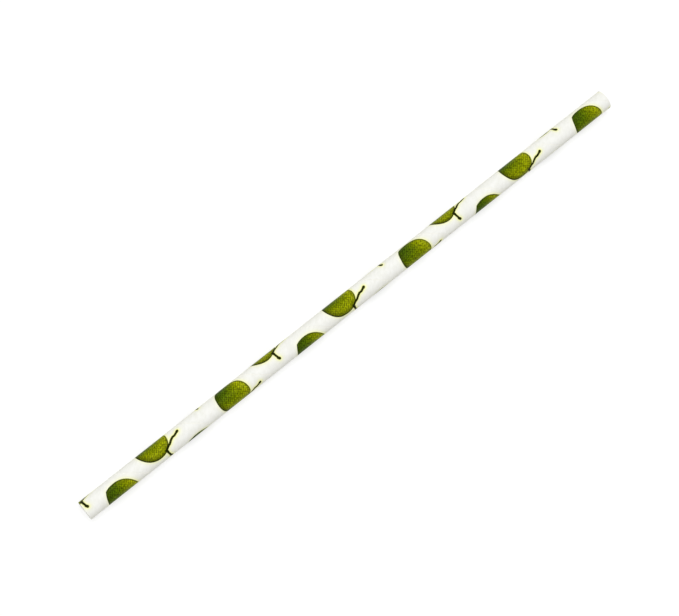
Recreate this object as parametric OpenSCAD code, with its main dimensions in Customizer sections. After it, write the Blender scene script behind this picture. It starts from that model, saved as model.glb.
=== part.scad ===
// Paper drinking straw, spiral wound from three strips of paper.
// It lies along X on the plane z = 0, with the origin under the middle of its length.

/* [Tube] */
// Length from one cut end to the other
straw_length = 197; // [120:1:260]
// Diameter over the printed outside
outer_d = 6; // [5:0.1:8]

/* [Paper] */
// Thickness of the printed outer ply
outer_ply = 0.08; // [0.06:0.01:0.12]
// Thickness of the stiff middle ply
middle_ply = 0.16; // [0.1:0.01:0.25]
// Thickness of the inner ply, which the drink touches
inner_ply = 0.16; // [0.1:0.01:0.25]

/* [Winding] */
// Width of the printed strip that makes the outer ply
strip_w = 14.2; // [11:0.1:15]
// Gap that is left between one turn of the printed strip and the next
outer_gap = 0.2; // [0.1:0.05:0.4]
// The same gap in the inner ply, inside the bore
inner_gap = 0.2; // [0.1:0.05:0.4]
// Direction of the outer seam at the first end, in degrees round from the floor
outer_seam_at = 270; // [0:5:355]
// How far round the inner seam is set from the outer one, so that no two gaps line up
seam_stagger = 120; // [60:5:300]

/* [Hidden] */

// Sizes of the tube that follow from its plies
outer_r = outer_d / 2;
wall = outer_ply + middle_ply + inner_ply;
bore_r = outer_r - wall;

// A strip laid round the tube edge to edge leans from the tube's axis by this angle,
// and goes once round the tube in this length
strip_angle = acos((strip_w + outer_gap) / (PI * outer_d));
lead = PI * outer_d / tan(strip_angle);

// The seams are cut a little past every surface that they open through
past = 0.5;
slices_per_turn = 36;
round_fn = 120;
paper_white = [0.95, 0.95, 0.93];

// Cross-section of a seam: a narrow slot from one radius out to another,
// as wide round the tube as a gap of this width is when the strip leans
module seam_slot(gap, from_r, to_r, mouth_r) {
    half_angle = gap / cos(strip_angle) / mouth_r * 90 / PI;
    polygon([
        for (corner = [[from_r, -1], [to_r, -1], [to_r, 1], [from_r, 1]])
            corner[0] * [cos(corner[1] * half_angle), sin(corner[1] * half_angle)]
    ]);
}

// A slot that winds along the whole tube, right-handed, and runs out past both ends
module winding_seam(start_at, gap, from_r, to_r, mouth_r) {
    run = straw_length + 2 * past;
    translate([0, 0, -past])
        rotate([0, 0, start_at - 360 * past / lead])
            linear_extrude(
                height = run,
                twist = -360 * run / lead,
                slices = ceil(slices_per_turn * run / lead)
            )
                seam_slot(gap, from_r, to_r, mouth_r);
}

// The open step between neighbouring turns of the printed strip
module outer_seam() {
    winding_seam(outer_seam_at, outer_gap, outer_r - outer_ply, outer_r + past, outer_r);
}

// The same step inside the bore, between turns of the inner strip
module inner_seam() {
    winding_seam(outer_seam_at + seam_stagger, inner_gap, bore_r - past, bore_r + inner_ply, bore_r);
}

// The bore, which goes right through
module bore() {
    translate([0, 0, -past])
        cylinder(h = straw_length + 2 * past, r = bore_r, $fn = round_fn);
}

// The three plies, glued into one stiff tube and cut off square at both ends
module straw() {
    color(paper_white)
        translate([-straw_length / 2, 0, outer_r])
            rotate([0, 90, 0])
                difference() {
                    cylinder(h = straw_length, r = outer_r, $fn = round_fn);
                    bore();
                    outer_seam();
                    inner_seam();
                }
}

straw();
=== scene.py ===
"""A paper drinking straw, wound from three strips of paper and printed with green fruit on forked twigs."""

import math

import bpy
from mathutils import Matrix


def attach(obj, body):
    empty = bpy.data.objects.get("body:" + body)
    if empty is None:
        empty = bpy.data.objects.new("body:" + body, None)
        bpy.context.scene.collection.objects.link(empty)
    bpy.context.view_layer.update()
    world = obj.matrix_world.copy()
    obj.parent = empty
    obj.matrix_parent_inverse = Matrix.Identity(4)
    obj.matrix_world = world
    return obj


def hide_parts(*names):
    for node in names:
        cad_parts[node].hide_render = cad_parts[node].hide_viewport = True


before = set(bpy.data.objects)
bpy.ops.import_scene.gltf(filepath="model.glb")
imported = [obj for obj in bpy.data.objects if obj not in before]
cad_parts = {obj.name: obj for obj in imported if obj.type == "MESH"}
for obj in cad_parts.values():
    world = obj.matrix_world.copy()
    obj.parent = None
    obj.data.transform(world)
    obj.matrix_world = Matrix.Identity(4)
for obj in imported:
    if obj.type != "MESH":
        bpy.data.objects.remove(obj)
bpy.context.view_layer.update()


# The straw's wall. Three strips of paper are wound round a steel rod, one over
# the other, and glued into one stiff tube. The outer and the inner strip each
# leave a fine open seam that winds along the straw, and both ends are cut square.
MM = 0.001
straw_length = 197 * MM
outer_r = 3.0 * MM
outer_ply = 0.08 * MM
middle_ply = 0.16 * MM
inner_ply = 0.16 * MM
bore_r = outer_r - outer_ply - middle_ply - inner_ply

# one strip and the gap beside it lie edge to edge round the straw, which sets
# how far a strip leans from the axis and how far along it goes in one turn
strip_width = 14.2 * MM
seam_gap = 0.2 * MM
strip_pitch = strip_width + seam_gap
girth = 2 * math.pi * outer_r
lean = math.acos(strip_pitch / girth)
lead = girth / math.tan(lean)

# each seam is one ply deep with softened edges, and the two lie a third of a turn apart
seam_edge = 0.02 * MM
outer_seam_turn = -90 / 360
inner_seam_turn = outer_seam_turn - 120 / 360

# the strips are wound on past both ends of the straw, and the waste is cut off
waste_turns = 2
steps_per_turn = 96

# how near two points of the mesh are to be one, and how near the cut to lie on it
same_point = 0.0005 * MM
cut_slack = 0.00001 * MM
at_the_cut = 0.001 * MM
crease = math.radians(30)


def wind(name, skin_r, seam_r, seam_turn):
    """One side of the wall, made by sweeping a line round the axis as the strip is wound.

    The line is one turn long, and half of the open seam lies at each of its ends.
    """
    half_gap = seam_gap / math.cos(lean) / (2 * math.pi * skin_r) * lead / 2
    edge_r = skin_r + math.copysign(seam_edge, seam_r - skin_r)
    turns = math.ceil(straw_length / lead) + waste_turns + 1
    first_x = -straw_length / 2 + (seam_turn - waste_turns) * lead
    bpy.ops.object.select_all(action="DESELECT")
    bpy.ops.mesh.primitive_plane_add(size=MM, location=(first_x, 0, outer_r))
    skin = bpy.context.object
    skin.name = name
    bpy.ops.object.mode_set(mode="EDIT")
    bpy.ops.mesh.merge(type="CENTER")
    bpy.ops.transform.translate(value=(0, 0, seam_r))
    for forward, outward in (
        (half_gap, 0),
        (0, edge_r - seam_r),
        (seam_edge, skin_r - edge_r),
        (lead - 2 * half_gap - 2 * seam_edge, 0),
        (seam_edge, edge_r - skin_r),
        (0, seam_r - edge_r),
        (half_gap, 0),
    ):
        bpy.ops.mesh.extrude_vertices_move(TRANSFORM_OT_translate={"value": (forward, 0, outward)})
    bpy.ops.object.mode_set(mode="OBJECT")
    sweep = skin.modifiers.new("sweep", "SCREW")
    sweep.axis = "X"
    sweep.angle = 2 * math.pi
    sweep.screw_offset = lead
    sweep.iterations = turns
    sweep.steps = sweep.render_steps = steps_per_turn
    bpy.ops.object.modifier_apply(modifier=sweep.name)
    bpy.ops.object.transform_apply(location=True)
    return skin


outside = wind("straw_wall", outer_r, outer_r - outer_ply, outer_seam_turn)
inside = wind("bore", bore_r, bore_r + inner_ply, inner_seam_turn)
outside.select_set(True)
bpy.context.view_layer.objects.active = outside
bpy.ops.object.join()
straw = bpy.context.object
bpy.ops.object.mode_set(mode="EDIT")
bpy.ops.mesh.select_all(action="SELECT")
bpy.ops.mesh.remove_doubles(threshold=same_point)
for end in (-1, 1):
    bpy.ops.mesh.select_all(action="SELECT")
    bpy.ops.mesh.bisect(
        plane_co=(end * straw_length / 2, 0, outer_r),
        plane_no=(1, 0, 0),
        clear_inner=end < 0,
        clear_outer=end > 0,
        threshold=cut_slack,
    )
for end in (-1, 1):
    bpy.ops.mesh.select_all(action="DESELECT")
    bpy.ops.object.mode_set(mode="OBJECT")
    for vertex in straw.data.vertices:
        vertex.select = abs(vertex.co.x - end * straw_length / 2) < at_the_cut
    bpy.ops.object.mode_set(mode="EDIT")
    bpy.ops.mesh.select_mode(type="VERT")
    bpy.ops.mesh.select_mode(type="EDGE")
    bpy.ops.mesh.fill()
bpy.ops.mesh.select_all(action="SELECT")
bpy.ops.mesh.normals_make_consistent(inside=False)
bpy.ops.object.mode_set(mode="OBJECT")
bpy.ops.object.shade_smooth_by_angle(angle=crease)


# The print on the outer strip. One green fruit with a pointed tip hangs on a
# forked twig, and is printed again and again along the strip's middle before the
# strip is wound, so on the straw the fruit climb round it beside the open seam.
class Ink:
    """A number or colour that varies over the paper, and can be worked with as a plain one is.

    One that has no socket only makes the first nodes of a tree.
    """

    def __init__(self, tree, socket=None):
        self.tree = tree
        self.socket = socket

    def node(self, kind, settings, sockets, output=0):
        """One node of that type: its settings, then a value or a link for each socket."""
        made = self.tree.nodes.new(kind)
        for setting, value in settings.items():
            if setting == "stops":
                ramp = made.color_ramp.elements
                ramp.remove(ramp[-1])
                for number, (at, colour) in enumerate(value):
                    stop = ramp.new(at) if number else ramp[0]
                    stop.position, stop.color = at, colour
            else:
                setattr(made, setting, value)
        feed(made, sockets)
        return Ink(self.tree, made.outputs[output])

    def math(self, operation, *others):
        return self.node("ShaderNodeMath", {"operation": operation}, dict(enumerate((self, *others))))

    def __add__(self, other):
        return self.math("ADD", other)

    def __sub__(self, other):
        return self.math("SUBTRACT", other)

    def __rsub__(self, other):
        return self.node("ShaderNodeMath", {"operation": "SUBTRACT"}, {0: other, 1: self})

    def __mul__(self, other):
        return self.math("MULTIPLY", other)

    def __truediv__(self, other):
        return self.math("DIVIDE", other)

    __radd__, __rmul__ = __add__, __mul__

    def fade(self, start, end):
        """0 up to start and 1 from end on, with a soft change between them."""
        sockets = {"Value": self, "From Min": start, "From Max": end}
        return self.node("ShaderNodeMapRange", {"interpolation_type": "SMOOTHSTEP"}, sockets)

    def between(self, first, second):
        """The first colour where this is 0 and the second where it is 1."""
        return self.node("ShaderNodeMix", {"data_type": "RGBA"}, {0: self, 6: first, 7: second}, 2)

    def under(self, colour, cover):
        """This colour with another over it, where cover is from 0, none, to 1, all."""
        return cover.between(self, colour)

    def clouds(self, **sockets):
        """Random clouds, from 0 to 1, over this place."""
        return self.node("ShaderNodeTexNoise", {}, {"Vector": self, **sockets})


def feed(node, sockets):
    """Gives each of a node's sockets its value, or a link where the value varies."""
    for name, value in sockets.items():
        if isinstance(value, Ink):
            value.tree.links.new(value.socket, node.inputs[name])
        else:
            node.inputs[name].default_value = value


def colour_of(red, green, blue):
    """A colour of 0 to 255, as a screen shows it, made linear for the shader."""
    parts = (part / 255 for part in (red, green, blue))
    return (*(part / 12.92 if part <= 0.04045 else ((part + 0.055) / 1.055) ** 2.4 for part in parts), 1)


def new_paper(name):
    """A new material's shader, and the place in millimetres from the straw's centre, whole and by axis."""
    material = bpy.data.materials.new(name)
    material.use_nodes = True
    straw.data.materials.append(material)
    tree = material.node_tree
    from_origin = Ink(tree).node("ShaderNodeTexCoord", {}, {}, "Object")
    place = from_origin.node(
        "ShaderNodeVectorMath",
        {"operation": "MULTIPLY_ADD"},
        {0: from_origin, 1: (1 / MM, 1 / MM, 1 / MM), 2: (0, 0, -outer_r / MM)},
    )
    x, y, z = (place.node("ShaderNodeSeparateXYZ", {}, {0: place}, axis) for axis in "XYZ")
    return tree.nodes["Principled BSDF"], place, x, y, z


print_shader, place, x, y, z = new_paper("printed_outer_ply")
round_straw = y.math("ARCTAN2", z) * (outer_r / MM)

# how far the first fruit is from the first cut end, and how far round from the top, and then
# lengths on the straw from that fruit, in millimetres: right is along it and up is round it
first_fruit = (11.67, 14.41)
right = x + (straw_length / MM / 2 - first_fruit[0])
up = round_straw - first_fruit[1]

# where that place lay on the flat strip, before it was wound: along its middle and across it
strip_mm = strip_pitch / MM
along = right * math.cos(lean) - up * math.sin(lean)
across = right * math.sin(lean) + up * math.cos(lean)
turn = (across / strip_mm).math("ROUND")
across = across - turn * strip_mm
along = along + turn * (girth / MM * math.sin(lean))

# the place that the paper's and the ink's grain follow, drawn out across the strip and new on each turn
grain_stretch = 0.5
grain_per_turn = 7.0
strip_place = along.node(
    "ShaderNodeCombineXYZ", {}, {0: along, 1: across * grain_stretch, 2: turn * grain_per_turn}
)

# along, right and up again, now counted from the nearest fruit
fruit_pitch = 17.8
along = along - (along / fruit_pitch).math("ROUND") * fruit_pitch
right = along * math.cos(lean) + across * math.sin(lean)
up = across * math.cos(lean) - along * math.sin(lean)

# the fruit is an oval that leans to the upper left, where it ends in a small tip
fruit_middle = (-0.17, 0.33)
fruit_half_width = 4.93
longer_than_wide = 0.47
longer_at_tip = 0.05
tip_lean = math.radians(129.5)
tip_spread = 0.6
tip_hollow = 1.5
tip_length = 0.58
fruit_right = right - fruit_middle[0]
fruit_up = up - fruit_middle[1]
toward_tip = fruit_right * math.cos(tip_lean) + fruit_up * math.sin(tip_lean)
beside_axis = fruit_right * math.sin(tip_lean) - fruit_up * math.cos(tip_lean)
from_middle = (toward_tip * toward_tip + beside_axis * beside_axis).math("SQRT")
tip_side = toward_tip / from_middle.math("MAXIMUM", 0.001)
tip = (1 - tip_side.math("ARCCOSINE") / tip_spread).math("MAXIMUM", 0).math("POWER", tip_hollow)
oval = fruit_half_width + tip_side * longer_at_tip + tip_side * tip_side * longer_than_wide
inside_edge = oval + tip * tip_length - from_middle

# its skin is dark green round the tip and goes to yellow green on the far side
mid_green = 0.45
darkest_line = -0.3
paler_to_each_side = 0.024
darker_toward_tip = 0.105
from_darkest = beside_axis - darkest_line
lit = mid_green + (from_darkest * from_darkest * paler_to_each_side - toward_tip * darker_toward_tip)

# soft patches make it a little uneven: where each lies, its width and height, and how much paler it is
for at_right, at_up, wide, high, paler in (
    (1.4, -3.0, 1.0, 0.8, 0.12),
    (-2.5, -1.1, 1.4, 0.9, 0.08),
    (2.3, 0.3, 1.5, 0.8, -0.15),
    (2.5, -2.9, 0.8, 0.8, -0.15),
):
    off_right = (right - at_right) / wide
    off_up = (up - at_up) / high
    patch = ((off_right * off_right + off_up * off_up) * -1).math("EXPONENT")
    lit = lit + patch * paler
skin_stops = [
    (0.0, colour_of(60, 83, 6)),
    (0.2, colour_of(76, 97, 3)),
    (0.42, colour_of(100, 115, 2)),
    (0.62, colour_of(120, 131, 2)),
    (0.82, colour_of(138, 147, 5)),
    (1.0, colour_of(149, 157, 14)),
]
skin = lit.node("ShaderNodeValToRGB", {"stops": skin_stops}, {0: lit})

# fine pale dots in rows along and across the strip, as the print's screen leaves them
dot_pitch = 0.6
depth_along = 0.24
depth_across = 0.16
grain_depth = 3.4
mean_paleness = 0.97
least_paleness = 0.5
dots_along = (along * (2 * math.pi / dot_pitch)).math("SINE")
dots_across = (across * (2 * math.pi / dot_pitch)).math("SINE")
dots = dots_along * depth_along + dots_across * depth_across
grain = strip_place.clouds(Scale=3.0, Detail=1.0)
paleness = (mean_paleness + dots + (grain - 0.5) * grain_depth).math("MAXIMUM", least_paleness)
skin = skin.node("ShaderNodeVectorMath", {"operation": "SCALE"}, {0: skin, "Scale": paleness})

# the skin is shaded toward its lower left edge, and a thin dark line runs round it
shade_green = colour_of(46, 54, 2)
line_green = colour_of(24, 32, 8)
shade_width = 2.1
line_width = 0.5
fullest_at = 0.2
low_side = 0.43 - (beside_axis * 0.1 + tip_side * 0.14)
shade = inside_edge.fade(shade_width, fullest_at) * low_side.math("MAXIMUM", 0) * 0.9
line_cover = low_side.math("MAXIMUM", 0.5 + beside_axis * 0.045)
line = inside_edge.fade(line_width, fullest_at) * line_cover
skin = skin.under(shade_green, shade).under(line_green, line)


def nearest(*paths):
    """How far a place is from the nearest of the straight pieces that make up these paths."""
    found = None
    for path in paths:
        for (from_right, from_up), (to_right, to_up) in zip(path, path[1:]):
            run = to_right - from_right
            rise = to_up - from_up
            share = ((right - from_right) * run + (up - from_up) * rise) / (run * run + rise * rise)
            share = share.math("MAXIMUM", 0).math("MINIMUM", 1)
            off_right = right - from_right - share * run
            off_up = up - from_up - share * rise
            gap = (off_right * off_right + off_up * off_up).math("SQRT")
            found = gap if found is None else found.math("MINIMUM", gap)
    return found


# the twig forks at a knot where the fruit hangs, with a blunt bud at the end of each arm
fork = (2.6, -3.95)
knot = (fork, (2.8, -4.4))
long_arm = (fork, (3.7, -3.2), (4.55, -2.9), (5.4, -2.3), (6.2, -1.88), (7.0, -1.85), (8.0, -1.42))
long_arm_bud = ((8.1, -1.38), (8.35, -1.25))
short_arm = (fork, (2.78, -4.7), (2.95, -5.6), (3.1, -6.3))
short_arm_bud = ((3.02, -6.1), (3.27, -6.5))
arm_half_width = 0.34
bud_half_width = 0.43
knot_half_width = 0.4
arms = nearest(long_arm, short_arm) - arm_half_width
buds = nearest(long_arm_bud, short_arm_bud) - bud_half_width
twig = arms.math("MINIMUM", buds).math("MINIMUM", nearest(knot) - knot_half_width)
twig_ink = grain.fade(0.5, 0.8).between(colour_of(20, 27, 3), colour_of(46, 53, 12))

# white paper, with a faint cloudiness and a pale yellow bloom where the ink ends
bloom_yellow = colour_of(250, 252, 140)
bloom_reach = 0.4
fibres = strip_place.clouds(Scale=1.1, Detail=4.0, Roughness=0.6)
paper = fibres.fade(0.3, 0.7).between(colour_of(241, 241, 235), colour_of(248, 248, 244))
from_ink = twig.math("MINIMUM", inside_edge * -1).math("MAXIMUM", 0)
bloom = (from_ink / -bloom_reach).math("EXPONENT") * (0.62 - tip_side * 0.25 + beside_axis * 0.02)
fruit_softness = 0.05
twig_softness = 0.07
fruit_cover = inside_edge.fade(-fruit_softness, fruit_softness)
twig_cover = twig.fade(twig_softness, -twig_softness)
printed = paper.under(bloom_yellow, bloom).under(skin, fruit_cover).under(twig_ink, twig_cover)

# the ink stands a little proud of the fibres, and the paper sinks over the inner strip's seam
inner_seam_across = (0.5 + inner_seam_turn - outer_seam_turn) * strip_mm
sunk_half_width = 0.35
over_seam = (across - inner_seam_across).math("ABSOLUTE").fade(sunk_half_width, 0.0)
inked = fruit_cover.math("MAXIMUM", twig.fade(fruit_softness, -fruit_softness))
height = fibres * 0.5 + inked * 0.15 - over_seam * 0.6
relief = place.node("ShaderNodeBump", {}, {"Strength": 0.35, "Distance": 0.02 * MM, "Height": height})
feed(print_shader, {
    "Base Color": printed,
    "Roughness": 0.42 + fibres * 0.1 - inked * 0.08,
    "Normal": relief,
    "Specular IOR Level": 0.06,
    "Specular Tint": (1.0, 1.0, 0.2, 1),
})


# The bare paper: the bore, the floor of each seam and the two cut ends. It is
# uncoated white kraft, a little rougher than the outside, and the knife leaves the
# three plies showing as rings with a thin line of glue between them.
bare_shader, place, x, y, z = new_paper("bare_paper")
glue_brown = colour_of(196, 188, 166)
outer_glue_r = (outer_r - outer_ply) / MM
inner_glue_r = (bore_r + inner_ply) / MM
glue_half_width = 0.025
glue_full_within = 0.01
cut_depth = 0.02
end_x = straw_length / MM / 2
from_axis = (y * y + z * z).math("SQRT")
from_outer_glue = (from_axis - outer_glue_r).math("ABSOLUTE")
from_inner_glue = (from_axis - inner_glue_r).math("ABSOLUTE")
from_glue = from_outer_glue.math("MINIMUM", from_inner_glue)
at_end = x.math("ABSOLUTE").fade(end_x - cut_depth, end_x - cut_depth / 2)
glue = from_glue.fade(glue_half_width, glue_full_within) * at_end
fibres = place.clouds(Scale=5.0, Detail=4.0, Roughness=0.65)
paper = fibres.fade(0.3, 0.7).between(colour_of(241, 240, 232), colour_of(248, 247, 241))
height = fibres - glue * 0.8
relief = place.node("ShaderNodeBump", {}, {"Strength": 0.5, "Distance": 0.03 * MM, "Height": height})
feed(bare_shader, {
    "Base Color": paper.under(glue_brown, glue * 0.6),
    "Roughness": 0.75,
    "Normal": relief,
    "Specular IOR Level": 0.03,
})

# the print covers all that faces outwards, and the rest of the wall is bare
cut_end_normal = 0.9
for face in straw.data.polygons:
    face_r = math.hypot(face.center.y, face.center.z - outer_r)
    is_printed = face_r > outer_r - seam_edge and abs(face.normal.x) < cut_end_normal
    face.material_index = 0 if is_printed else 1

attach(straw, "root")
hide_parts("straw")


# The white table that the straw lies on. The camera sees it as plain white with
# the straw's own soft shadow, and it throws pale light back up at the straw.
def seen_through(tree):
    """1 for what the camera sees, directly or by way of gloss or glass, and 0 for all other light."""
    camera, glossy, clear = (
        Ink(tree).node("ShaderNodeLightPath", {}, {}, ray)
        for ray in ("Is Camera Ray", "Is Glossy Ray", "Is Transmission Ray")
    )
    return camera.math("MAXIMUM", glossy).math("MAXIMUM", clear)


table_width = 6
table_throws_back = (0.78, 0.78, 0.68, 1)
table_grey = (0.4, 0.4, 0.4, 1)
own_white = 0.64
bpy.ops.object.select_all(action="DESELECT")
bpy.ops.mesh.primitive_plane_add(size=table_width, location=(0, 0, 0))
table = bpy.context.object
table.name = "table"
white_top = bpy.data.materials.new("white_table")
white_top.use_nodes = True
top_tree = white_top.node_tree
top_tree.nodes.remove(top_tree.nodes["Principled BSDF"])
seen = seen_through(top_tree)
matt = seen.node("ShaderNodeBsdfDiffuse", {}, {"Color": seen.between(table_throws_back, table_grey)})
glow = seen.node("ShaderNodeEmission", {}, {"Color": (1, 1, 1, 1), "Strength": seen * own_white})
both = seen.node("ShaderNodeAddShader", {}, {0: matt, 1: glow})
feed(top_tree.nodes["Material Output"], {"Surface": both})
table.data.materials.append(white_top)


# The light of a white studio: even from all round, with one broad soft lamp
# high above and a little to one side, so that it falls across the straw.
even_light = 0.44
lamp_place = (0, 0.14, 0.69)
lamp_tilt = math.radians(-11.5)
lamp_breadth = math.radians(40)
lamp_strength = 1.86
studio = bpy.data.worlds.new("studio")
bpy.context.scene.world = studio
studio.use_nodes = True
seen = seen_through(studio.node_tree)
feed(studio.node_tree.nodes["Background"], {
    "Color": (1, 1, 1, 1),
    "Strength": seen * (1 - even_light) + even_light,
})
bpy.ops.object.light_add(type="SUN", location=lamp_place, rotation=(lamp_tilt, 0, 0))
lamp = bpy.context.object
lamp.name = "soft_lamp"
lamp.data.angle = lamp_breadth
lamp.data.energy = lamp_strength


# The camera. It looks down on the straw from above its first end, turned so
# that the straw lies across the picture as it does in the photograph.
camera_place = (-0.1107, 0.0070, 0.4841)
camera_turn = (math.radians(7.08), math.radians(-10.12), math.radians(-38.93))
bpy.ops.object.camera_add(location=camera_place, rotation=camera_turn)
camera = bpy.context.object
camera.name = "camera"
camera.data.sensor_width = 36
camera.data.lens = 90.1
bpy.context.scene.camera = camera
bpy.context.scene.view_settings.view_transform = "Standard"
